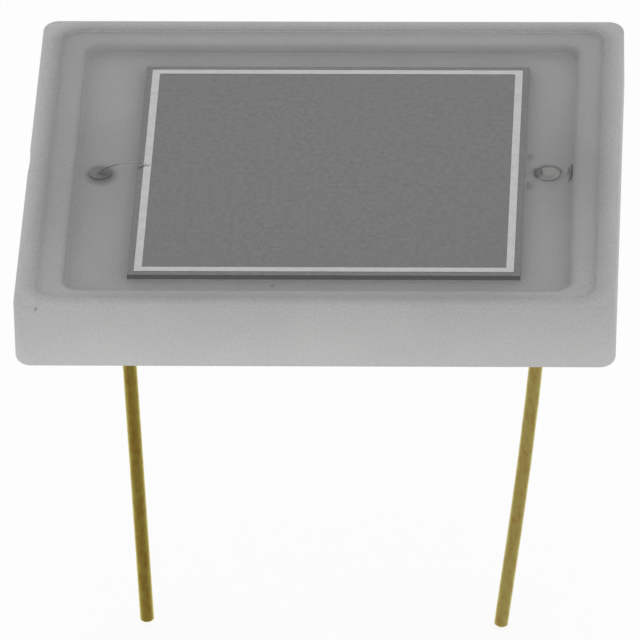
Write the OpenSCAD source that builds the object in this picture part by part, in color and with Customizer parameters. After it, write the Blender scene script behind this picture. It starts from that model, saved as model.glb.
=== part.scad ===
// Silicon photodiode in a ceramic package: a square chip lies in a stepped cavity that is filled
// with clear resin, and two round leads pass through the floor of the cavity.
// The origin is the centre of the underside. +Z points towards the light, and +X runs from the
// anode lead to the cathode lead. All sizes are in millimetres, and angles in degrees.

/* [Chip] */
// Side of the square light-sensitive area
active_s = 10.05; // [4:0.05:20]
// Width of the metal contact strip around the light-sensitive area
contact_w = 0.21; // [0.15:0.01:0.4]
// Thickness of the contact strip
contact_t = 0.02; // [0.01:0.005:0.04]
// Bare silicon outside the contact strip
chip_margin = 0.18; // [0.1:0.005:0.5]
// Thickness of the silicon
chip_t = 0.33; // [0.2:0.01:0.45]
// How far the chip is set off centre, towards the cathode lead
chip_shift = 0.19; // [-0.25:0.01:0.25]
// Thickness of the adhesive under the chip
attach_t = 0.03; // [0.02:0.005:0.06]
// How far the adhesive is squeezed out around the chip
attach_margin = 0.04; // [0.02:0.01:0.1]
// Width of the adhesive tongue that runs to the cathode lead
tongue_w = 0.7; // [0.3:0.05:1]

/* [Ceramic body] */
// Cavity floor beside the chip, on the two sides that have leads
side_floor_w = 1.535; // [1.4:0.005:2.5]
// Cavity floor beside the chip, on the other two sides
end_floor_w = 0.985; // [0.5:0.005:2]
// Width of the ledge on the two sides that have leads
side_ledge_w = 0.75; // [0.4:0.01:1.2]
// Width of the ledge on the other two sides
end_ledge_w = 0.55; // [0.4:0.01:1.2]
// Width of the rim at the top
rim_w = 0.55; // [0.4:0.01:1]
// Thickness of the ceramic under the cavity
floor_t = 1.03; // [0.8:0.01:1.6]
// Height of the lower step, from the cavity floor to the ledge
lower_step_h = 0.85; // [0.6:0.01:1.2]
// Height of the upper step, from the ledge to the rim
upper_step_h = 0.12; // [0.1:0.01:0.3]
// Plan radius of the four outer corners
corner_r = 0.45; // [0.4:0.05:1]
// Plan radius of the cavity's corners above the ledge
upper_corner_r = 0.6; // [0.3:0.05:0.8]
// Plan radius of the cavity's corners below the ledge
lower_corner_r = 0.45; // [0.2:0.05:0.6]
// Rounding of the outer top edge
rim_edge_r = 0.12; // [0.05:0.01:0.2]
// Rounding of the outer bottom edge
base_edge_r = 0.2; // [0.1:0.01:0.35]
// Rounding of the ledge's inner edge
ledge_edge_r = 0.28; // [0.1:0.01:0.35]
// Fillet at the foot of the cavity's walls
wall_foot_r = 0.05; // [0.03:0.005:0.06]
// Length of the shallow flake that is broken from the left edge
flake_w = 1.25; // [0.5:0.05:2]
// Depth of that flake
flake_depth = 0.04; // [0.02:0.005:0.08]
// How far the flake lies behind the middle of that edge
flake_y = 0.06; // [-4:0.02:4]

/* [Resin] */
// How far the resin's surface lies below the rim
fill_drop = 0.02; // [0.01:0.005:0.03]

/* [Leads] */
// Diameter of a lead
lead_d = 0.4; // [0.3:0.01:0.5]
// Distance from the edge of a centred chip to a lead's axis
lead_gap = 0.835; // [0.7:0.005:1]
// Diameter of the nail head on the cavity floor
head_d = 0.66; // [0.56:0.02:0.8]
// Thickness of the nail head
head_t = 0.12; // [0.08:0.01:0.16]
// Chamfer at a lead's tip
tip_chamfer = 0.06; // [0.02:0.01:0.1]
// Radius of the sharp bends, at the lead's axis
bend_r = 2; // [1:0.1:3]
// How far the anode lead's tip lies below the underside
anode_drop = 13.55; // [8:0.05:20]
// Straight length below the underside before the anode lead's first bend
anode_stub = 0.9; // [0.5:0.05:2]
// Slant of the anode lead between its two bends, from upright
anode_kink = 18; // [5:1:30]
// Length of that slanted stretch
anode_kink_len = 1.24; // [0.2:0.02:2]
// Slant of the anode lead's long end, from upright
anode_toe = 1.57; // [0:0.01:4]
// How far the cathode lead's tip lies below the underside
cathode_drop = 13.67; // [8:0.05:20]
// Straight length below the underside before the cathode lead's bend
cathode_stub = 0.4; // [0.3:0.05:2]
// Slant of the cathode lead below its bend, from upright
cathode_lean = 5.4; // [1:0.1:10]
// Length of that slanted stretch
cathode_lean_len = 3; // [1:0.1:3.5]
// Further angle that the bowed stretch of the cathode lead turns through
cathode_bow = 2.3; // [0.5:0.1:4]
// Radius of that bow, at the lead's axis
cathode_bow_r = 172; // [60:1:180]

/* [Lead seals] */
// Gap between a lead and its hole, filled with braze
seal_gap = 0.05; // [0.03:0.01:0.08]
// Diameter of the pocket for the braze in the underside
pocket_d = 1.1; // [0.9:0.05:1.3]
// Depth of the pocket
pocket_depth = 0.3; // [0.2:0.01:0.5]
// How far the braze stays inside the underside
seal_recess = 0.03; // [0.02:0.01:0.08]
// Depth of the hollow in the braze's surface
seal_dish = 0.12; // [0.05:0.01:0.15]

/* [Bond wire and adhesive bead] */
// Diameter of the bond wire
wire_d = 0.06; // [0.04:0.005:0.08]
// Height of the wire's arch above the straight line between its ends
wire_rise = 0.34; // [0.2:0.02:0.4]
// How far the wire's end on the chip lies behind its end on the lead
wire_skew = 0.24; // [0:0.02:0.5]
// Diameter of the pressed foot at each end of the wire
foot_d = 0.14; // [0.12:0.01:0.18]
// Thickness of a pressed foot
foot_t = 0.06; // [0.04:0.005:0.08]
// Width of the adhesive bead around the cathode lead's head, half of it on the head
dab_w = 0.34; // [0.3:0.01:0.4]

/* [Hidden] */
$fn = 64;
// Overshoot of the cutting shapes past the faces that they open
over = 0.5;

// Plan sizes, worked out from the chip to the outside
chip_s = active_s + 2 * (contact_w + chip_margin);
lower_w = chip_s + 2 * side_floor_w;
lower_d = chip_s + 2 * end_floor_w;
upper_w = lower_w + 2 * side_ledge_w;
upper_d = lower_d + 2 * end_ledge_w;
package_w = upper_w + 2 * rim_w;
package_d = upper_d + 2 * rim_w;

// Levels, from the underside up
chip_z = floor_t + attach_t;
chip_top_z = chip_z + chip_t;
ledge_z = floor_t + lower_step_h;
package_h = ledge_z + upper_step_h;
fill_z = package_h - fill_drop;

// Leads: each step is a straight length, a turn towards the middle of the package and a bend radius
lead_r = lead_d / 2;
lead_x = chip_s / 2 + lead_gap;
anode_bends_h = anode_stub + anode_kink_len * cos(anode_kink)
    + bend_r * (2 * sin(anode_kink) - sin(anode_toe));
anode_run = (anode_drop - anode_bends_h) / cos(anode_toe) - tip_chamfer;
anode_steps = [
    [floor_t + anode_stub, anode_kink, bend_r],
    [anode_kink_len, anode_toe - anode_kink, bend_r],
    [anode_run, 0, 0]
];
cathode_toe = cathode_lean + cathode_bow;
cathode_bends_h = cathode_stub + bend_r * sin(cathode_lean) + cathode_lean_len * cos(cathode_lean)
    + cathode_bow_r * (sin(cathode_toe) - sin(cathode_lean));
cathode_run = (cathode_drop - cathode_bends_h) / cos(cathode_toe) - tip_chamfer;
cathode_steps = [
    [floor_t + cathode_stub, cathode_lean, bend_r],
    [cathode_lean_len, cathode_bow, cathode_bow_r],
    [cathode_run, 0, 0]
];

// Holes and seals
hole_r = lead_r + seal_gap;
pocket_r = pocket_d / 2;
seal_w = pocket_r - lead_r;
dish_r = (seal_w * seal_w / 4 + seal_dish * seal_dish) / (2 * seal_dish);

// Bond wire: an arc over the chord between the middles of its two feet
wire_start = [-lead_x, 0, floor_t + head_t];
wire_end = [chip_shift - (active_s + contact_w) / 2, wire_skew, chip_top_z + contact_t];
wire_span = wire_end - wire_start;
wire_plan = norm([wire_span.x, wire_span.y]);
wire_chord = norm(wire_span);
wire_arc_r = (wire_chord * wire_chord / 4 + wire_rise * wire_rise) / (2 * wire_rise);
wire_half_angle = asin(wire_chord / 2 / wire_arc_r);

// Ball that breaks the flake out of the left edge
flake_ball_r = (flake_w * flake_w / 4 + flake_depth * flake_depth) / (2 * flake_depth);

// Quarter of a disc, in the corner between +X and +Y
module quarter_disc(r) {
    intersection() {
        circle(r);
        square(r);
    }
}

// Block on a rounded rectangle: two crossed bars, with a turned piece in each corner
// The child draws half of the block's section, from x = 0 to x = $reach
module swept_block(w, d, r) {
    swept_bar(w, d - 2 * r) children();
    rotate(90) swept_bar(d, w - 2 * r) children();
    for (x = [-1, 1], y = [-1, 1])
        translate([x * (w / 2 - r), y * (d / 2 - r), 0])
            rotate_extrude() {
                $reach = r;
                children();
            }
}

// Bar along Y with that section on both sides
module swept_bar(w, length) {
    $reach = w / 2;
    rotate([90, 0, 0])
        linear_extrude(length, center = true)
            for (side = [0, 1]) mirror([side, 0]) children();
}

// Half section from the height z0 to the height z1, with a round lower edge
module round_foot_section(z0, z1, r) {
    translate([0, z0 + r]) square([$reach, z1 - z0 - r]);
    translate([0, z0]) square([$reach - r, r]);
    translate([$reach - r, z0 + r]) mirror([0, 1]) quarter_disc(r);
}

// Half section of the ceramic body's outside
module body_section() {
    rim_foot_z = package_h - rim_edge_r;
    round_foot_section(0, rim_foot_z, base_edge_r);
    translate([0, rim_foot_z]) square([$reach - rim_edge_r, rim_edge_r]);
    translate([$reach - rim_edge_r, rim_foot_z]) quarter_disc(rim_edge_r);
}

// Half section of the cavity's lower part, which widens below the ledge into the ledge's round edge
// It runs on into the upper part, as high as the fillet there
module lower_section() {
    round_foot_section(floor_t, ledge_z + wall_foot_r, wall_foot_r);
    translate([$reach, ledge_z - ledge_edge_r])
        difference() {
            square([ledge_edge_r, ledge_edge_r + wall_foot_r]);
            translate([ledge_edge_r, 0]) circle(ledge_edge_r);
        }
}

// Stepped space inside the body, from the cavity floor to the height z
module cavity(z) {
    swept_block(lower_w, lower_d, lower_corner_r) lower_section();
    swept_block(upper_w, upper_d, upper_corner_r) round_foot_section(ledge_z, z, wall_foot_r);
}

// Hole for one lead, with its braze pocket in the underside
module lead_hole() {
    translate([0, 0, -over]) cylinder(r = hole_r, h = floor_t + 2 * over);
    translate([0, 0, -over]) cylinder(r = pocket_r, h = pocket_depth + over);
}

module ceramic_package() {
    color("lightgray")
        difference() {
            swept_block(package_w, package_d, corner_r) body_section();
            cavity(package_h + over);
            for (x = [-1, 1]) translate([x * lead_x, 0, 0]) lead_hole();
            translate([-(package_w / 2 + flake_ball_r - flake_depth), flake_y, package_h - rim_edge_r])
                sphere(flake_ball_r);
        }
}

module silicon_chip() {
    color("dimgray")
        translate([chip_shift - chip_s / 2, -chip_s / 2, chip_z]) cube([chip_s, chip_s, chip_t]);
}

module contact_frame() {
    color("gainsboro")
        translate([chip_shift, 0, chip_top_z])
            linear_extrude(contact_t)
                difference() {
                    square(active_s + 2 * contact_w, center = true);
                    square(active_s, center = true);
                }
}

module lead_head() {
    translate([0, 0, floor_t]) cylinder(d = head_d, h = head_t);
}

// Half-round bead along the rim of the cathode lead's head
module dab_bead() {
    translate([lead_x, 0, floor_t])
        rotate_extrude()
            translate([head_d / 2, 0])
                intersection() {
                    circle(d = dab_w);
                    translate([-dab_w, 0]) square([2 * dab_w, dab_w]);
                }
}

module cathode_dab() {
    color("darkgray")
        difference() {
            dab_bead();
            translate([lead_x, 0, 0]) lead_head();
        }
}

// Adhesive under the chip, with a tongue that ends at the cathode lead
module attach_sheet() {
    translate([chip_shift, 0, floor_t])
        linear_extrude(attach_t) {
            square(chip_s + 2 * attach_margin, center = true);
            translate([0, -tongue_w / 2]) square([lead_x - chip_shift, tongue_w]);
        }
}

module die_attach() {
    color("gray")
        difference() {
            attach_sheet();
            dab_bead();
            translate([lead_x, 0, 0]) lead_head();
        }
}

// Moves by whole microns and then by what is left, so that the pieces of a wire meet exactly
module exact_move(v) {
    whole = [for (x = v) round(x * 1000) / 1000];
    translate(whole) translate(v - whole) children();
}

// Curved piece of a round wire: it starts at the origin, runs down and turns towards +X
module wire_bend(d, angle, r) {
    translate([r, 0, 0])
        rotate([90, 180, 0])
            rotate_extrude(angle = angle) translate([r, 0]) circle(d = d);
}

// Round wire that runs down from the origin, step by step, to a chamfered tip
module bent_wire(d, steps, i = 0) {
    run = steps[i][0];
    turn = steps[i][1];
    r = steps[i][2];
    exact_move([0, 0, -run]) {
        cylinder(d = d, h = run);
        if (i == len(steps) - 1) {
            translate([0, 0, -tip_chamfer])
                cylinder(r1 = d / 2 - tip_chamfer, r2 = d / 2, h = tip_chamfer);
        } else {
            rotate(turn < 0 ? 180 : 0) wire_bend(d, abs(turn), r);
            exact_move([sign(turn) * r * (1 - cos(turn)), 0, -r * sin(abs(turn))])
                rotate([0, -turn, 0]) bent_wire(d, steps, i + 1);
        }
    }
}

// Lead that bends towards +X below the package
module lead(steps) {
    lead_head();
    translate([0, 0, floor_t]) bent_wire(lead_d, steps);
}

module anode_lead() {
    color("darkgoldenrod") translate([-lead_x, 0, 0]) lead(anode_steps);
}

module cathode_lead() {
    color("darkgoldenrod") translate([lead_x, 0, 0]) rotate(180) lead(cathode_steps);
}

// Braze around a lead: a thin sleeve in the hole, and a ring with a hollow surface in the pocket
module seal() {
    rotate_extrude()
        difference() {
            translate([lead_r, seal_recess]) {
                square([seal_w, pocket_depth - seal_recess]);
                square([seal_gap, floor_t - seal_recess]);
            }
            translate([lead_r + seal_w / 2, seal_recess + seal_dish - dish_r]) circle(dish_r);
        }
}

module anode_seal() {
    color("silver") translate([-lead_x, 0, 0]) seal();
}

module cathode_seal() {
    color("silver") translate([lead_x, 0, 0]) seal();
}

module bond_wire() {
    color("gold") {
        for (foot = [wire_start, wire_end]) translate(foot) cylinder(d = foot_d, h = foot_t);
        translate((wire_start + wire_end) / 2 + [0, 0, foot_t / 2])
            rotate([0, -atan2(wire_span.z, wire_plan), atan2(wire_span.y, wire_span.x)])
                translate([0, 0, wire_rise - wire_arc_r])
                    rotate([90, 0, 0])
                        rotate(90 - wire_half_angle)
                            rotate_extrude(angle = 2 * wire_half_angle)
                                translate([wire_arc_r, 0]) circle(d = wire_d);
    }
}

// The cavity's filling, less all that is embedded in it
module resin_fill() {
    color("white", 0.3)
        difference() {
            cavity(fill_z);
            attach_sheet();
            silicon_chip();
            contact_frame();
            dab_bead();
            for (x = [-1, 1]) translate([x * lead_x, 0, 0]) lead_head();
            bond_wire();
        }
}

ceramic_package();
silicon_chip();
contact_frame();
die_attach();
cathode_dab();
anode_lead();
cathode_lead();
anode_seal();
cathode_seal();
bond_wire();
resin_fill();
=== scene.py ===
# %% [markdown]
# # A photodiode in a ceramic package
# The real part is a flat fired-ceramic tray with a square silicon chip in it, clear resin cast over the
# chip, and two gold-plated wires below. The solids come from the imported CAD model, so this script only
# gives them their finishes, and adds the shapes that are too soft or too fine for CAD: the resin's
# surface and the hand-laid adhesive. Sizes are in millimetres. Blender's unit is the metre, so lengths
# are multiplied by MM where they go into a mesh or a material.

import bpy
import numpy as np
from mathutils import Matrix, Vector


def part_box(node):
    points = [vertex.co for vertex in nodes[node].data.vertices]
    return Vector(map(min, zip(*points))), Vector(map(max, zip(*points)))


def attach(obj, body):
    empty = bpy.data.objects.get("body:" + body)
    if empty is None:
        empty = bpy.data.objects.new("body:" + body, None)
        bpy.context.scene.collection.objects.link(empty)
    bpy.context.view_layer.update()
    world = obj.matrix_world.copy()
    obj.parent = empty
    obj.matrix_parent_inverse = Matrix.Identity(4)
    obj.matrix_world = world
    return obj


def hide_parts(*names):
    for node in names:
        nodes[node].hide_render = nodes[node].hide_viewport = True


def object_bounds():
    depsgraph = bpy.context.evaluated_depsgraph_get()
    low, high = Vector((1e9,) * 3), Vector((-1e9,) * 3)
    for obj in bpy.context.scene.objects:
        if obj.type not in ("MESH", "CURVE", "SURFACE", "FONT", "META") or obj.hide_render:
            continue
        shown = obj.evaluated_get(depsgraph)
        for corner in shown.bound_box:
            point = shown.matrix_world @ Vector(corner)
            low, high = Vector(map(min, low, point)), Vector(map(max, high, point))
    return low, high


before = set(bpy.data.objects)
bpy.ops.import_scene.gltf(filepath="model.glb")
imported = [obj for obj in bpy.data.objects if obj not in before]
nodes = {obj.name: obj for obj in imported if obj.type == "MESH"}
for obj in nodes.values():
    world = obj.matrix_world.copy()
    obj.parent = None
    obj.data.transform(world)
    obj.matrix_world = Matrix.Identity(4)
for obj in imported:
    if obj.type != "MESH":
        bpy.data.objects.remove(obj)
cad_low, cad_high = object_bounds()
MM = 0.001
print("CAD box in mm:", [round(x / MM, 2) for x in (*cad_low, *cad_high)])

# %% [markdown]
# ## The camera
# The picture was taken with a long lens from in front and above, so the sides of the package stay almost
# parallel. The two directions below are the camera's right and backward axes in the part's frame, worked
# out from the package's edges and the square chip. The camera's up axis is made perpendicular to both, and
# its right axis to the other two, because a camera's matrix has to be a pure rotation.

# %% Camera
CAMERA_AT = np.array([14.2703, -274.057, 175.7495]) * MM
CAMERA_RIGHT = np.array([0.99901678, 0.03876052, -0.02151975])
CAMERA_BACK = np.array([0.04421953, -0.83636781, 0.54638221])
LENS_MM, SENSOR_MM = 655.2, 36.0
SEEN_FROM, SEEN_TO = 20 * MM, 20000 * MM

back = CAMERA_BACK / np.linalg.norm(CAMERA_BACK)
up = np.cross(back, CAMERA_RIGHT)
up /= np.linalg.norm(up)
right = np.cross(up, back)
camera_data = bpy.data.cameras.new("long_lens")
camera_data.lens, camera_data.sensor_width = LENS_MM, SENSOR_MM
camera_data.clip_start, camera_data.clip_end = SEEN_FROM, SEEN_TO
camera = bpy.data.objects.new("camera", camera_data)
bpy.context.scene.collection.objects.link(camera)
turned = Matrix(np.column_stack([right, up, back]).tolist()).to_4x4()
camera.matrix_world = Matrix.Translation(CAMERA_AT.tolist()) @ turned
bpy.context.scene.camera = camera
bpy.context.scene.view_settings.view_transform = "Standard"
print("camera", round(float(np.linalg.norm(CAMERA_AT)) / MM), "mm away, lens", LENS_MM, "mm")

# %% [markdown]
# ## Colours and nodes
# Colours are written as the hex values that a paint program shows. Blender's shaders count in linear
# light, so one function turns the first into the second. A second small function adds a shader node,
# sets its own settings and fills or links its sockets, which keeps each material short enough to read.

# %% Colour and node helpers
def linear(hex_colour):
    """Linear RGBA of an sRGB hex colour: c / 12.92 up to 0.04045, and ((c + 0.055) / 1.055) ^ 2.4 above."""
    c = np.array([int(hex_colour[i:i + 2], 16) for i in (1, 3, 5)]) / 255
    c = np.where(c <= 0.04045, c / 12.92, ((c + 0.055) / 1.055) ** 2.4)
    return (*c.tolist(), 1.0)


def add(tree, kind, sockets=None, stops=(), **settings):
    """Adds a node of that kind with its own settings. Each socket gets a value, or a link from another
    node's output socket. A colour ramp gets stops too: places from 0 to 1, each with a linear colour."""
    node = tree.nodes.new(kind)
    for name, value in settings.items():
        setattr(node, name, value)
    for name, value in (sockets or {}).items():
        if isinstance(value, bpy.types.NodeSocket):
            tree.links.new(value, node.inputs[name])
        else:
            node.inputs[name].default_value = value
    for i, (at, colour) in enumerate(stops):
        bar = node.color_ramp.elements
        stop = bar[i] if i < len(bar) else bar.new(at)
        stop.position, stop.color = at, colour
    return node


print("sRGB 128 is", round(linear("#808080")[0], 4), "in linear light")

# %% [markdown]
# ## Light
# The part was lit as in a light tent: bright white all round, and about a third less from straight above.
# Lamps could do that, but each would leave a hard reflection. A world whose brightness falls with height
# leaves none.

# %% World
HORIZON, MIDDLE, ZENITH = 1.2, 1.0, 0.78
MIDDLE_HEIGHT = 0.45


def greys(*stops):
    """Ramp stops in plain grey: each is a place from 0 to 1 and a level from 0 to 1."""
    return [(at, (level, level, level, 1.0)) for at, level in stops]


world = bpy.data.worlds.new("light_tent")
bpy.context.scene.world = world
world.use_nodes = True
sky = world.node_tree
sky.nodes.clear()
direction = add(sky, "ShaderNodeTexCoord").outputs["Generated"]
height = add(sky, "ShaderNodeSeparateXYZ", {"Vector": direction}).outputs["Z"]
fall = greys((0.0, 1.0), (MIDDLE_HEIGHT, MIDDLE / HORIZON), (1.0, ZENITH / HORIZON))
grey = add(sky, "ShaderNodeValToRGB", {"Fac": height}, stops=fall).outputs["Color"]
tent = add(sky, "ShaderNodeBackground", {"Color": grey, "Strength": HORIZON})
add(sky, "ShaderNodeOutputWorld", {"Surface": tent.outputs["Background"]})
print("tent brightness", HORIZON, "at the horizon,", ZENITH, "overhead")

# %% [markdown]
# ## Floor
# A sheet of white paper lies just under the tips of the leads. Most of what the camera sees of it is a
# plain white, so that the background is white and the part's soft shadow still shows on it. Seen from below
# it is clear, so that the underside can be looked at.

# %% Sheet of paper
PAPER_HALF, PAPER_DROP = 1500 * MM, 0.02 * MM
paper_z = cad_low.z - PAPER_DROP
corners = np.array([[-1, -1, 0], [1, -1, 0], [1, 1, 0], [-1, 1, 0]]) * PAPER_HALF + [0, 0, paper_z]
floor_mesh = bpy.data.meshes.new("floor")
floor_mesh.from_pydata(corners.tolist(), [], [(0, 1, 2, 3)])
floor = bpy.data.objects.new("floor", floor_mesh)
bpy.context.scene.collection.objects.link(floor)
print("floor at", round(paper_z / MM, 2), "mm")

# %% Paper material
SEEN_WHITE = 0.88


def material(name):
    """A new material with an empty node tree, and that tree."""
    made = bpy.data.materials.new(name)
    made.use_nodes = True
    made.node_tree.nodes.clear()
    return made, made.node_tree


paper, tree = material("white_paper")
path = add(tree, "ShaderNodeLightPath").outputs
seen = path["Is Camera Ray"]
for way in ("Is Glossy Ray", "Is Transmission Ray"):
    seen = add(tree, "ShaderNodeMath", {0: seen, 1: path[way]}, operation="MAXIMUM").outputs["Value"]
share = add(tree, "ShaderNodeMath", {0: seen, 1: SEEN_WHITE}, operation="MULTIPLY").outputs["Value"]
sheet = add(tree, "ShaderNodeBsdfDiffuse", {"Color": linear("#FAFAFA")}).outputs["BSDF"]
white = add(tree, "ShaderNodeEmission", {"Strength": 1.0}).outputs["Emission"]
lit = add(tree, "ShaderNodeMixShader", {0: share, 1: sheet, 2: white}).outputs["Shader"]
clear = add(tree, "ShaderNodeBsdfTransparent").outputs["BSDF"]
below = add(tree, "ShaderNodeNewGeometry").outputs["Backfacing"]
one_way = add(tree, "ShaderNodeMixShader", {0: below, 1: lit, 2: clear}).outputs["Shader"]
add(tree, "ShaderNodeOutputMaterial", {"Surface": one_way})
floor_mesh.materials.append(paper)
print("paper shows", SEEN_WHITE, "of plain white to the camera")

# %% [markdown]
# ## Ceramic
# The tray is alumina powder, pressed in a die, fired and left unglazed. That gives a neutral grey with
# hardly any gloss, a fine grain that can just be seen and slow clouds where the powder packed unevenly.
# The sides are painted paler towards the bottom, as painted light from below, and the cathode end is a touch
# darker. Two noises make the grain and the clouds, each at its own real size, and gradients along the part's
# axes do the rest.

# %% Ceramic grain and clouds
GRAIN_MM, CLOUD_MM, CLOUD_SHARE = 0.06, 2.2, 0.25
CERAMIC_SPREAD = 0.15


def scale_for(size_mm):
    """Texture scale whose pattern repeats about every size_mm: 1 / size, on coordinates in metres."""
    return 1 / (size_mm * MM)


def tones(*stops):
    """Ramp stops in colour: each is a place from 0 to 1 and a hex colour."""
    return [(at, linear(colour)) for at, colour in stops]


def two_tones(dark, pale, spread=0.2):
    """Ramp stops for a noise, whose values stay near 0.5: dark at 0.5 - spread and pale at 0.5 + spread."""
    return tones((0.5 - spread, dark), (0.5 + spread, pale))


BODY_TONES = two_tones("#A1A1A1", "#AFAFAE", CERAMIC_SPREAD)
# Painted light: the foot tones are paler than the body tones, so the sides are painted paler towards the
# bottom.
LIT_FOOT_TONES = two_tones("#B4B4B4", "#C0C0BF", CERAMIC_SPREAD)
ceramic, tree = material("fired_alumina")
place = add(tree, "ShaderNodeTexCoord").outputs["Object"]
grain = add(tree, "ShaderNodeTexNoise", {"Vector": place, "Scale": scale_for(GRAIN_MM), "Detail": 2.0})
cloud = add(tree, "ShaderNodeTexNoise", {"Vector": place, "Scale": scale_for(CLOUD_MM), "Detail": 2.0})
both = {"Factor": CLOUD_SHARE, "A": grain.outputs["Fac"], "B": cloud.outputs["Fac"]}
both = add(tree, "ShaderNodeMix", both).outputs["Result"]
body = add(tree, "ShaderNodeValToRGB", {"Fac": both}, stops=BODY_TONES).outputs["Color"]
foot = add(tree, "ShaderNodeValToRGB", {"Fac": both}, stops=LIT_FOOT_TONES).outputs["Color"]
print("ceramic grain", GRAIN_MM, "mm, clouds", CLOUD_MM, "mm")

# %% Gradients across the tray
tray_low, tray_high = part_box("ceramic_package")
# A Mix node's names repeat, so the sockets that mix colours are found by number
FACTOR, UNDER, OVER, MIXED = 0, 6, 7, 2
# Each gradient rises from 0 at the first place to 1 at the second, along an axis or away from the middle
GRADIENTS_MM = {
    "low on the sides": ("z", tray_high.z / MM, 0.0),
    "towards the cathode": ("x", tray_low.x / MM, tray_high.x / MM),
    "towards the rear": ("y", -7.0, 7.0),
    "near the front": ("y", 1.0, -3.0),
    "front ledge": ("y", -6.4, -7.0),
    "high in the cavity": ("z", 1.1, 1.95),
    "deep in the cavity": ("z", 1.7, 1.2),
    "sides of the cavity": ("out x", 5.0, 7.1),
    "corners along x": ("out x", 4.9, 7.0),
    "corners along y": ("out y", 2.0, 6.0),
}
where = add(tree, "ShaderNodeSeparateXYZ", {"Vector": place}).outputs
out = add(tree, "ShaderNodeVectorMath", {0: place}, operation="ABSOLUTE").outputs["Vector"]
out_xyz = add(tree, "ShaderNodeSeparateXYZ", {"Vector": out}).outputs
along = {"x": where["X"], "y": where["Y"], "z": where["Z"], "out x": out_xyz["X"], "out y": out_xyz["Y"]}
grade = {}
for name, (axis, start, end) in GRADIENTS_MM.items():
    reach = {"Value": along[axis], "From Min": start * MM, "From Max": end * MM}
    grade[name] = add(tree, "ShaderNodeMapRange", reach).outputs["Result"]
# Painted light: the sides blend from the body tones to the paler foot tones towards the bottom.
sides = {FACTOR: grade["low on the sides"], UNDER: body, OVER: foot}
tone = add(tree, "ShaderNodeMix", sides, data_type="RGBA").outputs[MIXED]
print("gradients:", ", ".join(grade))

# %% [markdown]
# ### Painted shade in the cavity
# Inside the cavity the ceramic is painted darker, as painted shade for the light that the resin holds back
# there. This painted shade fades out across the rim, so the rim is painted paler towards its outer edge.
# The cavity is a rounded rectangle, so the distance past its straight part tells how far out a place lies,
# also around the corners.

# %% Painted shade band
CORNER_R, SHADE_FROM, SHADE_TO = 0.6, -0.09, 0.45
CAVITY_FROM = 1.0
SHADE_BAND = greys((0.13, 1.0), (0.18, 0.85), (1.0, 0.0))
fill_low, fill_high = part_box("resin_fill")
straight = (fill_high.x - CORNER_R * MM, fill_high.y - CORNER_R * MM, tray_high.z)
past = add(tree, "ShaderNodeVectorMath", {0: out, 1: straight}, operation="SUBTRACT").outputs["Vector"]
past = add(tree, "ShaderNodeVectorMath", {0: past, 1: (0, 0, 0)}, operation="MAXIMUM").outputs["Vector"]
past = add(tree, "ShaderNodeVectorMath", {0: past}, operation="LENGTH").outputs["Value"]
reach = {"Value": past, "From Min": (CORNER_R + SHADE_FROM) * MM, "From Max": (CORNER_R + SHADE_TO) * MM}
# Painted shade: full inside the cavity, fading out across the rim.
shade_mask = add(tree, "ShaderNodeMapRange", reach).outputs["Result"]
shade_mask = add(tree, "ShaderNodeValToRGB", {"Fac": shade_mask}, stops=SHADE_BAND).outputs["Color"]
above = {0: where["Z"], 1: CAVITY_FROM * MM}
inside = add(tree, "ShaderNodeMath", above, operation="GREATER_THAN").outputs["Value"]
shade_mask = add(tree, "ShaderNodeMath", {0: shade_mask, 1: inside}, operation="MULTIPLY").outputs["Value"]
print("painted_shade band ends", SHADE_TO, "mm outside the cavity")

# %% [markdown]
# ### Painted light in the cavity
# Alumina lets some light seep through, so the upright walls of the cavity are paler near their upper edge
# than opaque walls would be, above all the rear wall, which faces the lit front. The front wall, which
# faces away from it, is darker. The corners, which the light reaches from two sides, are paler too. Tracing
# light through the ceramic would be slow and grainy, so this light and shade is painted into the colour: the
# painted-shade tone is a share of the unshaded tone, and this share is a sum of gradients.

# %% Light on the walls and in the corners
REAR_WALL, FRONT_WALL = 1.0, -0.5
WALL_CLIMB = greys((0.0, 0.0), (0.82, 0.67), (1.0, 1.0))
facing = add(tree, "ShaderNodeNewGeometry").outputs["Normal"]
facing = add(tree, "ShaderNodeSeparateXYZ", {"Vector": facing}).outputs
seep = add(tree, "ShaderNodeMath", {0: 1.0, 1: facing["Z"]}, operation="SUBTRACT").outputs["Value"]
walls = {"From Min": 1.0, "From Max": -1.0, "To Min": FRONT_WALL, "To Max": REAR_WALL}
to_front = add(tree, "ShaderNodeMapRange", {"Value": facing["Y"], **walls}).outputs["Result"]
climb = {"Fac": grade["high in the cavity"]}
climb = add(tree, "ShaderNodeValToRGB", climb, stops=WALL_CLIMB).outputs["Color"]
for factor in (to_front, climb):
    seep = add(tree, "ShaderNodeMath", {0: seep, 1: factor}, operation="MULTIPLY").outputs["Value"]
to_left = {"Value": facing["X"], "From Min": 0.0, "From Max": -1.0}
to_left = add(tree, "ShaderNodeMapRange", to_left).outputs["Result"]
not_left = add(tree, "ShaderNodeMath", {0: 1.0, 1: to_left}, operation="SUBTRACT").outputs["Value"]
reached = {0: grade["deep in the cavity"], 1: grade["near the front"]}
corner = add(tree, "ShaderNodeMath", reached, operation="MAXIMUM").outputs["Value"]
for factor in (grade["corners along x"], grade["corners along y"], not_left):
    corner = add(tree, "ShaderNodeMath", {0: corner, 1: factor}, operation="MULTIPLY").outputs["Value"]
print("seeping light counts", REAR_WALL, "on the rear wall and", FRONT_WALL, "on the front wall")
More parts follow.
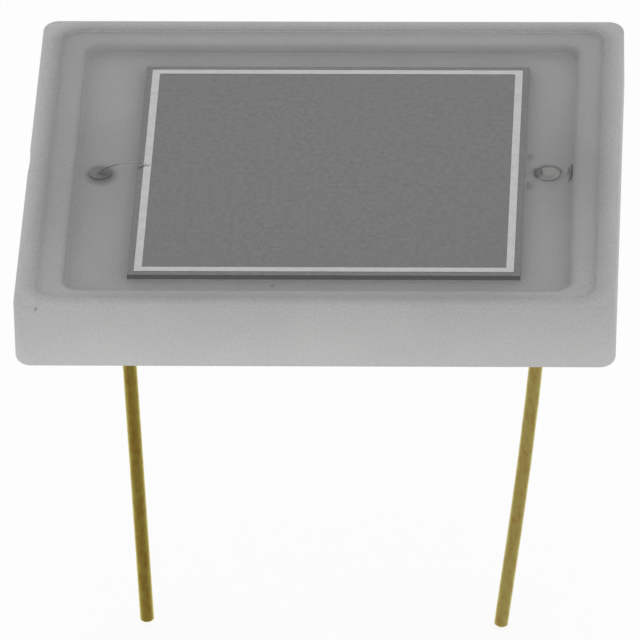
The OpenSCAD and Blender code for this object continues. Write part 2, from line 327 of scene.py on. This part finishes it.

# %% Shares of the unshaded tone: painted shade and painted light
ANODE_END, CATHODE_END = 1.05, 0.97
SHADE_FRONT, SHADE_REAR = 0.58, 0.62
SEEP, SEEP_CORNER = 0.42, 0.17
SIDES, FRONT_LEDGE, RIGHT_WALL = -0.035, 0.06, -0.08
SIDE_STEPS = greys((0.0, 0.0), (0.3, 0.57), (0.9, 0.57), (1.0, 1.0))
steps = {"Fac": grade["sides of the cavity"]}
steps = add(tree, "ShaderNodeValToRGB", steps, stops=SIDE_STEPS).outputs["Color"]
# Painted light and shade, each as a share: paler towards the rear, darker at the sides, paler on the front
# ledge, darker on the right wall, paler in the corners and on the upright walls.
shares = {
    "towards the rear": (grade["towards the rear"], SHADE_REAR - SHADE_FRONT),
    "at the sides": (steps, SIDES),
    "on the front ledge": (grade["front ledge"], FRONT_LEDGE),
    "on the right wall": (to_left, RIGHT_WALL),
    "in the corners": (corner, SEEP_CORNER),
    "through the walls": (seep, SEEP),
}
share = SHADE_FRONT
for factor, amount in shares.values():
    total = {0: factor, 1: amount, 2: share}
    share = add(tree, "ShaderNodeMath", total, operation="MULTIPLY_ADD").outputs["Value"]
ends = {"Value": grade["towards the cathode"], "To Min": ANODE_END, "To Max": CATHODE_END}
unshaded = add(tree, "ShaderNodeMapRange", ends).outputs["Result"]
# Painted shade and light: where the mask is full, the tone is the share above, and elsewhere the unshaded
# tone.
dim = add(tree, "ShaderNodeMapRange", {"Value": shade_mask, "To Min": unshaded, "To Max": share}).outputs["Result"]
tone = add(tree, "ShaderNodeVectorMath", {0: tone, "Scale": dim}, operation="SCALE").outputs["Vector"]
print("painted_shade share of the dry tone changes", ", ".join(shares))

# %% [markdown]
# ### Marks on the ceramic
# A dark stain surrounds the anode lead's head, a broad faint painted shade darkens the ceramic at each end
# of the cavity around the heads, weak smears of adhesive lie beside the cathode side of the chip, and two
# specks mark the front. None has a thickness that shows, so they are soft spots in the finish and no pieces
# of their own.

# %% Marks
FLOOR_Z = fill_low.z / MM
# Each mark has a middle and half sizes in mm, a softness, a strength and a colour
MARKS = {
    "stain around the anode head": ((-6.2, -0.1, FLOOR_Z), (0.54, 0.68, 0.2), 0.65, 0.72, "#2C2C2C"),
    # Painted shade: the next two broad spots darken the ceramic at each end of the cavity, around the heads.
    "painted shade at the anode end": ((-6.0, -0.1, FLOOR_Z), (1.3, 3.2, 0.8), 0.95, 0.12, "#2C2C2C"),
    "painted shade at the cathode end": ((6.7, 0.1, 1.4), (1.6, 3.2, 1.5), 0.95, 0.22, "#2C2C2C"),
    "rear smear": ((5.7, 0.92, FLOOR_Z), (0.22, 0.27, 0.2), 0.9, 0.5, "#404040"),
    "front smear": ((5.72, -0.58, FLOOR_Z), (0.24, 0.3, 0.2), 0.9, 0.5, "#404040"),
    "speck on the edge": ((-7.61, -7.49, 1.93), (0.07, 0.08, 0.09), 0.7, 0.5, "#606060"),
    "speck on the floor": ((-1.2, -5.73, FLOOR_Z), (0.09, 0.11, 0.1), 0.7, 0.5, "#404040"),
}


def spot(tree, place, centre_mm, radii_mm, soft):
    """Factor that is 1 in an ellipsoid's middle and 0 outside it: with q = |(p - centre) / radii|, it falls
    smoothly from q = 1 - soft to q = 1."""
    off = {0: place, 1: np.array(centre_mm) * MM}
    off = add(tree, "ShaderNodeVectorMath", off, operation="SUBTRACT").outputs["Vector"]
    part = {0: off, 1: np.array(radii_mm) * MM}
    part = add(tree, "ShaderNodeVectorMath", part, operation="DIVIDE").outputs["Vector"]
    q = add(tree, "ShaderNodeVectorMath", {0: part}, operation="LENGTH").outputs["Value"]
    fade = {"Value": q, "From Min": 1.0, "From Max": 1 - soft}
    return add(tree, "ShaderNodeMapRange", fade, interpolation_type="SMOOTHSTEP").outputs["Result"]


for centre, radii, soft, strength, colour in MARKS.values():
    there = spot(tree, place, centre, radii, soft)
    there = add(tree, "ShaderNodeMath", {0: there, 1: strength}, operation="MULTIPLY").outputs["Value"]
    mark = {FACTOR: there, UNDER: tone, OVER: linear(colour)}
    tone = add(tree, "ShaderNodeMix", mark, data_type="RGBA").outputs[MIXED]
print("marks:", ", ".join(MARKS))

# %% [markdown]
# The fired surface is matt and a little rough. The noise that gives the grain its tones also gives the
# relief, so that the pale grains stand up and the dark ones lie low.

# %% Ceramic finish
RELIEF_MM = 0.01


def dress(piece, made):
    """Gives a CAD node one finish in all its material slots."""
    mesh = nodes[piece].data
    mesh.materials.clear()
    mesh.materials.append(made)


relief = {"Height": grain.outputs["Fac"], "Strength": 0.12, "Distance": RELIEF_MM * MM}
relief = add(tree, "ShaderNodeBump", relief).outputs["Normal"]
finish = {"Base Color": tone, "Roughness": 0.6, "IOR": 1.6, "Normal": relief}
shader = add(tree, "ShaderNodeBsdfPrincipled", finish).outputs["BSDF"]
add(tree, "ShaderNodeOutputMaterial", {"Surface": shader})
dress("ceramic_package", ceramic)
print("ceramic relief", RELIEF_MM, "mm")

# %% [markdown]
# ## Silicon
# The chip is polished silicon under a thin antireflection film, which leaves an even dark grey mirror.
# Its four sides were sawn, so they are darker. The chip is one solid with one finish, so the finish tells
# the sides from the top by the height.

# %% Silicon material
MOTTLE_MM, TOP_MARGIN_MM = 0.14, 0.01
FILM_TONES = two_tones("#616161", "#717171")
SAWN_TONES = two_tones("#3C3C3C", "#484848")
chip_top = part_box("silicon_chip")[1].z
silicon, tree = material("polished_silicon")
place = add(tree, "ShaderNodeTexCoord").outputs["Object"]
mottle = add(tree, "ShaderNodeTexNoise", {"Vector": place, "Scale": scale_for(MOTTLE_MM), "Detail": 2.0})
film = add(tree, "ShaderNodeValToRGB", {"Fac": mottle.outputs["Fac"]}, stops=FILM_TONES).outputs["Color"]
sawn = add(tree, "ShaderNodeValToRGB", {"Fac": mottle.outputs["Fac"]}, stops=SAWN_TONES).outputs["Color"]
level = add(tree, "ShaderNodeSeparateXYZ", {"Vector": place}).outputs["Z"]
above = {0: level, 1: chip_top - TOP_MARGIN_MM * MM}
on_top = add(tree, "ShaderNodeMath", above, operation="GREATER_THAN").outputs["Value"]
faces = {FACTOR: on_top, UNDER: sawn, OVER: film}
tone = add(tree, "ShaderNodeMix", faces, data_type="RGBA").outputs[MIXED]
shader = add(tree, "ShaderNodeBsdfPrincipled", {"Base Color": tone, "Metallic": 1.0, "Roughness": 0.2})
add(tree, "ShaderNodeOutputMaterial", {"Surface": shader.outputs["BSDF"]})
dress("silicon_chip", silicon)
print("chip top at", round(chip_top / MM, 3), "mm")

# %% [markdown]
# ## Contact strip
# A frame of evaporated aluminium runs around the light-sensitive area. Such a film is a bright satin
# metal, so it is the palest thing in the cavity. A weak noise keeps it from looking painted.

# %% Contact material
SATIN_MM = 0.25
STRIP_TONES = two_tones("#BBBBBB", "#C3C3C3")
aluminium, tree = material("evaporated_aluminium")
place = add(tree, "ShaderNodeTexCoord").outputs["Object"]
satin = add(tree, "ShaderNodeTexNoise", {"Vector": place, "Scale": scale_for(SATIN_MM), "Detail": 1.0})
tone = add(tree, "ShaderNodeValToRGB", {"Fac": satin.outputs["Fac"]}, stops=STRIP_TONES).outputs["Color"]
shader = add(tree, "ShaderNodeBsdfPrincipled", {"Base Color": tone, "Metallic": 1.0, "Roughness": 0.25})
add(tree, "ShaderNodeOutputMaterial", {"Surface": shader.outputs["BSDF"]})
dress("contact_frame", aluminium)
strip_low, strip_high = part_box("contact_frame")
print("contact strip", round((strip_high.x - strip_low.x) / MM, 2), "mm wide outside")

# %% [markdown]
# ## Adhesive
# The chip lies in epoxy that is filled with silver flakes, so that it conducts. It is a dull grey where
# it is spread thin, and darker where it stands up as a bead and the light gets lost between the flakes.
# The flakes are about 0.01 mm long, too fine to be seen here, so the pattern stands for clusters of them.
# Soft spots tell the finish where the adhesive lies thick, and its upright faces are painted paler, as
# painted light.

# %% Adhesive material
CLUSTER_MM, UPRIGHT_LIGHT = 0.08, 1.5
THIN_TONES = two_tones("#848484", "#949494")
RING_TONES = two_tones("#606060", "#707070")
THICK_TONES = two_tones("#2C2C2C", "#404040")
lead_low, lead_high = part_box("cathode_lead")
HEAD_Z = lead_high.z / MM
# Each spot has a middle and half sizes in mm, and a softness
RING_SPOT = ((6.28, 0.15, 1.1), (0.55, 0.6, 0.4), 0.3)
HEAPS = {
    "heap beside the head": ((5.97, 0.05, HEAD_Z), (0.3, 0.36, 0.3), 0.6),
    "smear at the wall": ((6.9, 0.3, 1.1), (0.25, 0.9, 0.4), 0.7),
}
adhesive, tree = material("silver_filled_epoxy")
place = add(tree, "ShaderNodeTexCoord").outputs["Object"]
flake = add(tree, "ShaderNodeTexNoise", {"Vector": place, "Scale": scale_for(CLUSTER_MM), "Detail": 3.0})
thin, ring, thick = (
    add(tree, "ShaderNodeValToRGB", {"Fac": flake.outputs["Fac"]}, stops=stops).outputs["Color"]
    for stops in (THIN_TONES, RING_TONES, THICK_TONES)
)
around = {FACTOR: spot(tree, place, *RING_SPOT), UNDER: thin, OVER: ring}
tone = add(tree, "ShaderNodeMix", around, data_type="RGBA").outputs[MIXED]
# Painted light: upright faces are painted up to 1.5 times as pale as faces that look straight up.
facing_up = add(tree, "ShaderNodeNewGeometry").outputs["Normal"]
facing_up = add(tree, "ShaderNodeSeparateXYZ", {"Vector": facing_up}).outputs["Z"]
pale = {"Value": facing_up, "To Min": UPRIGHT_LIGHT, "To Max": 1.0}
pale = add(tree, "ShaderNodeMapRange", pale).outputs["Result"]
tone = add(tree, "ShaderNodeVectorMath", {0: tone, "Scale": pale}, operation="SCALE").outputs["Vector"]
for heap in HEAPS.values():
    heaped = {FACTOR: spot(tree, place, *heap), UNDER: tone, OVER: thick}
    tone = add(tree, "ShaderNodeMix", heaped, data_type="RGBA").outputs[MIXED]
shader = add(tree, "ShaderNodeBsdfPrincipled", {"Base Color": tone, "Roughness": 0.5})
add(tree, "ShaderNodeOutputMaterial", {"Surface": shader.outputs["BSDF"]})
dress("die_attach", adhesive)
layer_low, layer_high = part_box("die_attach")
print("adhesive layer", round((layer_high.z - layer_low.z) / MM, 3), "mm thick")

# %% [markdown]
# ### Bead and smear
# The cathode lead's head was joined to the adhesive by hand. The bead is thick on the chip's side, lower in
# front, and almost breaks off at the front right. A bead is a half-round section swept along a closed curve,
# where both the section's width and its height change along the way. The same sweep, with open ends, gives
# the smear that was drawn along the foot of the cavity's wall.

# %% Skins from rings
def grid_faces(rings, points, closed=False):
    """Four-sided faces between neighbouring rings of points. Each ring is closed, and the row of rings too
    where closed is set."""
    k, i = np.meshgrid(np.arange(rings if closed else rings - 1), np.arange(points), indexing="ij")
    j, n = (i + 1) % points, (k + 1) % rings
    return np.stack([k * points + i, k * points + j, n * points + j, n * points + i], -1).reshape(-1, 4)


def skin(name, grid, made, closed=False):
    """A closed mesh from a grid of rings in millimetres: open rows of rings get a cap at both ends."""
    rings, points = grid.shape[:2]
    faces = grid_faces(rings, points, closed).tolist()
    if not closed:
        faces += [list(range(points))[::-1], list(range((rings - 1) * points, rings * points))]
    mesh = bpy.data.meshes.new(name)
    mesh.from_pydata((grid.reshape(-1, 3) * MM).tolist(), [], faces)
    mesh.polygons.foreach_set("use_smooth", np.ones(len(mesh.polygons), bool))
    mesh.materials.append(made)
    mesh.update()
    piece = bpy.data.objects.new(name, mesh)
    bpy.context.scene.collection.objects.link(piece)
    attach(piece, "root")
    print(name, "has", len(mesh.vertices), "points")
    return piece


print("a closed row of 4 rings of 3 points has", len(grid_faces(4, 3, closed=True)), "faces")

# %% Half-round sections
SECTION_POINTS, BURIED, NEARLY_ZERO = 16, 0.02, 1e-9


def bead_grid(path_x, path_y, across_x, across_y, half_width, height, inner_z, outer_z):
    """Half-round section on a path: P = path + w cos(a) across, z = foot(a) + h sin(a) for a from 0 to pi,
    and z = foot(a) - BURIED below. The foot rises smoothly from outer_z to inner_z where cos(a) < 0."""
    a = np.linspace(0, 2 * np.pi, SECTION_POINTS, endpoint=False)[None, :]
    per_ring = (path_x, path_y, across_x, across_y, half_width, height, outer_z)
    x, y, side_x, side_y, w, h, outer = (np.broadcast_to(v, path_x.shape)[:, None] for v in per_ring)
    share = np.clip(-np.cos(a), 0, 1)
    foot = outer + (inner_z - outer) * share * share * (3 - 2 * share)
    z = foot + np.where(np.sin(a) > NEARLY_ZERO, h * np.sin(a), -BURIED)
    return np.stack([x + w * np.cos(a) * side_x, y + w * np.cos(a) * side_y, z], -1)


print("a section has", SECTION_POINTS, "points and reaches", BURIED, "mm below its foot")

# %% Bead on the cathode lead's head
SECTIONS = 96
# Angles around the head, and how wide each place is, in radians
LOBE, GAP, FRONT = (1.14 * np.pi, 0.75), (-0.2 * np.pi, 0.4), (-0.5 * np.pi, 0.9)
seal_low, seal_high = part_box("cathode_seal")
HEAD_X = (seal_low.x + seal_high.x) / 2 / MM
# The bead's middle lies a little off the middle of the head
OFF_X, OFF_Y = 0.01, 0.14
RING_R, RING_OVAL, RING_LOBE = 0.28, 0.04, 0.03
# Each wave has a height in mm, a count around the ring and a start in radians
WAVES = ((0.015, 3, 1.0), (0.01, 7, 0.0))
BEAD_HALF, LOBE_HALF, GAP_NARROWS, FRONT_NARROWS = 0.085, 0.06, 0.75, 0.35
BEAD_HEIGHT, LOBE_HEIGHT, GAP_LOWERS, FRONT_LOWERS = 0.07, 0.1, 0.95, 0.5
turn = np.linspace(0, 2 * np.pi, SECTIONS, endpoint=False)


def bump_at(angle, width):
    """exp(-(d / width)^2) of the angle d between each place on the ring and the given angle."""
    return np.exp(-(np.angle(np.exp(1j * (turn - angle))) / width) ** 2)


lobe, gap, front = (bump_at(*spread) for spread in (LOBE, GAP, FRONT))
wobble = sum(size * np.sin(count * turn + start) for size, count, start in WAVES)
radius = RING_R + RING_OVAL * np.sin(turn) ** 2 + wobble + RING_LOBE * lobe
half_width = (BEAD_HALF + LOBE_HALF * lobe) * (1 - GAP_NARROWS * gap) * (1 - FRONT_NARROWS * front)
bead_height = (BEAD_HEIGHT + LOBE_HEIGHT * lobe) * (1 - GAP_LOWERS * gap) * (1 - FRONT_LOWERS * front)
outer_z = FLOOR_Z + (HEAD_Z - FLOOR_Z) * front
bead_x, bead_y = HEAD_X + OFF_X + radius * np.cos(turn), OFF_Y + radius * np.sin(turn)
grid = bead_grid(bead_x, bead_y, np.cos(turn), np.sin(turn), half_width, bead_height, HEAD_Z, outer_z)
bead = skin("cathode_bead", grid[::-1], adhesive, closed=True)
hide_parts("cathode_dab")

# %% Smear at the foot of the wall
SMEAR_SECTIONS, SMEAR_HALF, SMEAR_HEIGHT = 40, 0.1, 0.15
SMEAR_X, SMEAR_BOW, SMEAR_TURN = 6.9, 0.1, 0.2
SMEAR_Y, SMEAR_LENGTH = 0.58, 0.98
SMEAR_TIP, SMEAR_BLUNT = 0.004, 0.8
t = np.linspace(0, 1, SMEAR_SECTIONS)
swell = np.sin(np.pi * np.clip(t, SMEAR_TIP, 1 - SMEAR_TIP)) ** SMEAR_BLUNT
smear_x, smear_y = SMEAR_X - SMEAR_BOW * t ** 2, SMEAR_Y - SMEAR_LENGTH * t
half_width, smear_height = SMEAR_HALF * swell, SMEAR_HEIGHT * swell
grid = bead_grid(smear_x, smear_y, 1.0, SMEAR_TURN * t, half_width, smear_height, FLOOR_Z, FLOOR_Z)
smear = skin("wall_smear", grid, adhesive)

# %% [markdown]
# ## Bond wire
# The bond wire is drawn aluminium, and drawing leaves fine lines along it, here a little coarser than real
# ones. Its foot is stained like the anode lead's head, and its other end, pressed flat on the contact
# strip, is as bright as the strip. A ramp along the wire gives these tones, and a stretched noise the lines.

# %% Bond wire material
LINE_MM, LINE_STRETCH = 0.02, (0.2, 1.0, 1.0)
LINE_DARK, LINE_PALE = 0.85, 1.15
WIRE_TONES = tones(
    (0.28, "#5E5E5E"), (0.42, "#8C8C8C"), (0.7, "#8C8C8C"), (0.84, "#606060"), (0.9, "#C4C4C4")
)
wire_low, wire_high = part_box("bond_wire")
wire, tree = material("drawn_aluminium_wire")
place = add(tree, "ShaderNodeTexCoord").outputs["Object"]
run = add(tree, "ShaderNodeSeparateXYZ", {"Vector": place}).outputs["X"]
reach = {"Value": run, "From Min": wire_low.x, "From Max": wire_high.x}
run = add(tree, "ShaderNodeMapRange", reach).outputs["Result"]
tone = add(tree, "ShaderNodeValToRGB", {"Fac": run}, stops=WIRE_TONES).outputs["Color"]
lines = add(tree, "ShaderNodeMapping", {"Vector": place, "Scale": LINE_STRETCH}).outputs["Vector"]
lines = add(tree, "ShaderNodeTexNoise", {"Vector": lines, "Scale": scale_for(LINE_MM), "Detail": 1.0})
fine = {"Value": lines.outputs["Fac"], "To Min": LINE_DARK, "To Max": LINE_PALE}
fine = add(tree, "ShaderNodeMapRange", fine).outputs["Result"]
tone = add(tree, "ShaderNodeVectorMath", {0: tone, "Scale": fine}, operation="SCALE").outputs["Vector"]
shader = add(tree, "ShaderNodeBsdfPrincipled", {"Base Color": tone, "Metallic": 1.0, "Roughness": 0.5})
add(tree, "ShaderNodeOutputMaterial", {"Surface": shader.outputs["BSDF"]})
dress("bond_wire", wire)
print("bond wire spans", round((wire_high.x - wire_low.x) / MM, 2), "mm")

# %% [markdown]
# ## Braze
# The braze in the two pockets of the underside is silver and copper that flowed and set, with a dull skin
# and slow patches of warmer and cooler colour. A noise between two tones is enough for that.

# %% Braze material
PATCH_MM = 0.25
BRAZE_TONES = two_tones("#A89C86", "#BDB6A8")
braze, tree = material("silver_copper_braze")
place = add(tree, "ShaderNodeTexCoord").outputs["Object"]
patch = add(tree, "ShaderNodeTexNoise", {"Vector": place, "Scale": scale_for(PATCH_MM), "Detail": 3.0})
tone = add(tree, "ShaderNodeValToRGB", {"Fac": patch.outputs["Fac"]}, stops=BRAZE_TONES).outputs["Color"]
shader = add(tree, "ShaderNodeBsdfPrincipled", {"Base Color": tone, "Metallic": 1.0, "Roughness": 0.45})
add(tree, "ShaderNodeOutputMaterial", {"Surface": shader.outputs["BSDF"]})
for piece in ("anode_seal", "cathode_seal"):
    dress(piece, braze)
print("braze", round((seal_high.x - seal_low.x) / MM, 2), "mm across")

# %% [markdown]
# ## Gold-plated leads
# The leads are round iron-nickel wire with a thin gold plating. Seen straight on, the plating is a dark
# brownish gold, and at a grazing angle it turns brighter and yellower, so each lead has pale edges, which
# are a painted reflection of the bright surroundings. Streaks of redder and greener gold run along the wire.
# The anode lead is the darker of the two. A ramp on the angle of view paints the edges, and a noise that is
# stretched along the wire the streaks.

# %% Gold plating
STREAK_MM, STREAK_STRETCH = 0.12, (1.0, 1.0, 0.45)
ANODE_GOLD = tones((0.2, "#7A682F"), (0.42, "#92823A"), (0.7, "#C8BC60"), (0.95, "#EADF9C"))
CATHODE_GOLD = tones((0.2, "#94844B"), (0.42, "#9C8E50"), (0.7, "#C8BC72"), (0.95, "#EADF9C"))
STREAK_TINTS = [(0.32, (0.9, 0.74, 0.66, 1.0)), (0.5, (1.0, 1.0, 1.0, 1.0)), (0.68, (1.05, 1.14, 1.1, 1.0))]
gold, tree = material("dull_gold_plating")
place = add(tree, "ShaderNodeTexCoord").outputs["Object"]
where = add(tree, "ShaderNodeSeparateXYZ", {"Vector": place}).outputs
right_half = {0: where["X"], 1: 0.0}
cathode_side = add(tree, "ShaderNodeMath", right_half, operation="GREATER_THAN").outputs["Value"]
# Painted reflection: the gold turns paler and yellower where a lead is seen at a grazing angle.
grazing = add(tree, "ShaderNodeLayerWeight", {"Blend": 0.5}).outputs["Facing"]
dark_gold = add(tree, "ShaderNodeValToRGB", {"Fac": grazing}, stops=ANODE_GOLD).outputs["Color"]
pale_gold = add(tree, "ShaderNodeValToRGB", {"Fac": grazing}, stops=CATHODE_GOLD).outputs["Color"]
leads = {FACTOR: cathode_side, UNDER: dark_gold, OVER: pale_gold}
plating = add(tree, "ShaderNodeMix", leads, data_type="RGBA").outputs[MIXED]
streak = add(tree, "ShaderNodeMapping", {"Vector": place, "Scale": STREAK_STRETCH}).outputs["Vector"]
streak = add(tree, "ShaderNodeTexNoise", {"Vector": streak, "Scale": scale_for(STREAK_MM), "Detail": 3.0})
tint = add(tree, "ShaderNodeValToRGB", {"Fac": streak.outputs["Fac"]}, stops=STREAK_TINTS).outputs["Color"]
tinted = {FACTOR: 1.0, UNDER: plating, OVER: tint}
plating = add(tree, "ShaderNodeMix", tinted, data_type="RGBA", blend_type="MULTIPLY").outputs[MIXED]
print("gold streaks", STREAK_MM, "mm wide")

# %% [markdown]
# The flat heads inside the cavity have no gold look: one is dark grey, most of all on the chip's side, and
# the other is pale grey, with its steep edge painted paler still, as painted light. So the finish changes
# with the height, and on the cathode head with how steep a face is.

# %% Heads in the cavity
DARK_SPOT = ((-6.09, -0.1, HEAD_Z), (0.44, 0.44, 0.3), 0.9)
ANODE_GREY, ANODE_STAIN = linear("#646464"), linear("#424242")
CATHODE_HEAD = tones((0.2, "#B4B4B2"), (0.9, "#7E7E7C"))
stained = {FACTOR: spot(tree, place, *DARK_SPOT), UNDER: ANODE_GREY, OVER: ANODE_STAIN}
anode_head = add(tree, "ShaderNodeMix", stained, data_type="RGBA").outputs[MIXED]
# Painted light: the cathode head's steep edge is painted paler than its top.
facing_up = add(tree, "ShaderNodeNewGeometry").outputs["Normal"]
facing_up = add(tree, "ShaderNodeSeparateXYZ", {"Vector": facing_up}).outputs["Z"]
cathode_head = add(tree, "ShaderNodeValToRGB", {"Fac": facing_up}, stops=CATHODE_HEAD).outputs["Color"]
heads = {FACTOR: cathode_side, UNDER: anode_head, OVER: cathode_head}
head = add(tree, "ShaderNodeMix", heads, data_type="RGBA").outputs[MIXED]
above = {0: where["Z"], 1: CAVITY_FROM * MM}
in_cavity = add(tree, "ShaderNodeMath", above, operation="GREATER_THAN").outputs["Value"]
whole = {FACTOR: in_cavity, UNDER: plating, OVER: head}
tone = add(tree, "ShaderNodeMix", whole, data_type="RGBA").outputs[MIXED]
shader = add(tree, "ShaderNodeBsdfPrincipled", {"Base Color": tone, "Metallic": 1.0, "Roughness": 0.35})
add(tree, "ShaderNodeOutputMaterial", {"Surface": shader.outputs["BSDF"]})
for piece in ("anode_lead", "cathode_lead"):
    dress(piece, gold)
print("cathode lead", round((lead_high.z - lead_low.z) / MM, 2), "mm from head to tip")

# %% [markdown]
# ## Clear resin
# The resin was poured into the tray and set level, a little below the rim. At the walls it creeps up, as
# any liquid does, and that narrow curve is the thin line beside the rim in the picture. In CAD the resin's
# top is flat. Here it is a stack of rounded rectangles, each with its own size and height, joined into
# one closed skin: over the top, down the upper wall, along the ledge and down to the floor. The skin
# reaches a little into the ceramic, so that a ray inside the resin meets the ceramic itself, and no two
# faces lie in the same place.

# %% Rounded rectangles
POINTS_PER_CORNER = 16


def rounded_rectangles(half_w, half_d, radius, z):
    """One ring per row: the corner centres lie at (half - radius), and each corner is a quarter circle
    of that radius, sampled at equal angles. Returns an array of rings by points by xyz."""
    half_w, half_d, radius, z = (np.asarray(v, float)[:, None] for v in (half_w, half_d, radius, z))
    quarter = np.repeat(np.arange(4), POINTS_PER_CORNER) * np.pi / 2
    angle = quarter + np.tile(np.linspace(0, np.pi / 2, POINTS_PER_CORNER), 4)
    side_x, side_y = np.sign(np.cos(quarter + np.pi / 4)), np.sign(np.sin(quarter + np.pi / 4))
    x = side_x * (half_w - radius) + radius * np.cos(angle)
    y = side_y * (half_d - radius) + radius * np.sin(angle)
    return np.stack([x, y, np.broadcast_to(z, x.shape)], axis=-1)


print("a ring of the resin has", rounded_rectangles([2], [1], [0.5], [0]).shape[1], "points")

# %% Resin profile
LEDGE_Z, FILL_Z = 1.88, fill_high.z / MM
LEDGE_X, LEDGE_Y, LOWER_R = 0.75, 0.55, 0.45
# Half width, half depth and corner radius of the cavity above and below its ledge
UPPER = np.array([fill_high.x / MM, fill_high.y / MM, CORNER_R])
LOWER = np.array([UPPER[0] - LEDGE_X, UPPER[1] - LEDGE_Y, LOWER_R])
FOOT_R, EDGE_R, LEAST_R = 0.05, 0.28, 0.02
FOOT_STEPS, EDGE_STEPS = 7, 9
SINK, CREEP_W, CREEP_H = 0.02, 0.1, 0.006
INSETS = np.array([5.0, 2.0, 1.0, 0.6, 0.4, 0.3, 0.22, 0.16, 0.11, 0.075, 0.05, 0.03, 0.015, 0.0, -SINK])


def arc(offset, z, radius, start, end, steps):
    """Part of a circle around (offset, z), from the angle start to the angle end in degrees."""
    a = np.radians(np.linspace(start, end, steps))
    return np.stack([offset + radius * np.cos(a), z + radius * np.sin(a)], -1)


top = np.stack([-INSETS, FILL_Z + CREEP_H * np.exp(-np.maximum(INSETS, 0) / CREEP_W)], -1)
upper_foot = arc(-FOOT_R, LEDGE_Z + FOOT_R, FOOT_R + SINK, 0, -90, FOOT_STEPS)
ledge_edge = arc(EDGE_R, LEDGE_Z - EDGE_R, EDGE_R - SINK, 90, 180, EDGE_STEPS)
lower_foot = arc(-FOOT_R, FLOOR_Z + FOOT_R, FOOT_R + SINK, 0, -90, FOOT_STEPS)
upper = np.concatenate([top, upper_foot])
lower = np.concatenate([ledge_edge, lower_foot])
sizes = np.concatenate([UPPER + upper[:, :1], LOWER + lower[:, :1]])
heights = np.concatenate([upper, lower])[:, 1]
rings = rounded_rectangles(sizes[:, 0], sizes[:, 1], np.maximum(sizes[:, 2], LEAST_R), heights)
print("resin from", round(heights.min(), 3), "to", round(heights.max(), 3), "mm")

# %% [markdown]
# Clear resin bends what is seen through it and mirrors a little of the sky. Light that falls through it on
# its way to the ceramic is let straight through: the resin is thin and colourless, so the ceramic below
# is hardly darker than beside it, and the picture stays free of grain. A weak waviness, a few millimetres
# long, keeps its surface from being a perfect mirror.

# %% Resin material
WAVE_MM, WAVE_HEIGHT_MM = 3.0, 0.02
RESIN_IOR = 1.5
clear_resin, tree = material("clear_cast_resin")
place = add(tree, "ShaderNodeTexCoord").outputs["Object"]
wave = add(tree, "ShaderNodeTexNoise", {"Vector": place, "Scale": scale_for(WAVE_MM), "Detail": 1.0})
swell = {"Height": wave.outputs["Fac"], "Strength": 0.1, "Distance": WAVE_HEIGHT_MM * MM}
swell = add(tree, "ShaderNodeBump", swell).outputs["Normal"]
glassy = {"Base Color": linear("#FFFFFF"), "Transmission Weight": 1.0, "Roughness": 0.02, "IOR": RESIN_IOR}
shader = add(tree, "ShaderNodeBsdfPrincipled", {**glassy, "Normal": swell}).outputs["BSDF"]
path = add(tree, "ShaderNodeLightPath").outputs
unbent = path["Is Shadow Ray"]
for way in ("Is Diffuse Ray", "Is Glossy Ray"):
    unbent = add(tree, "ShaderNodeMath", {0: unbent, 1: path[way]}, operation="MAXIMUM").outputs["Value"]
open_way = add(tree, "ShaderNodeBsdfTransparent").outputs["BSDF"]
passing = add(tree, "ShaderNodeMixShader", {0: unbent, 1: shader, 2: open_way}).outputs["Shader"]
add(tree, "ShaderNodeOutputMaterial", {"Surface": passing})
print("resin bends light by", RESIN_IOR)

# %% Resin surface
resin = skin("resin_cast", rings[::-1], clear_resin)
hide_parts("resin_fill")
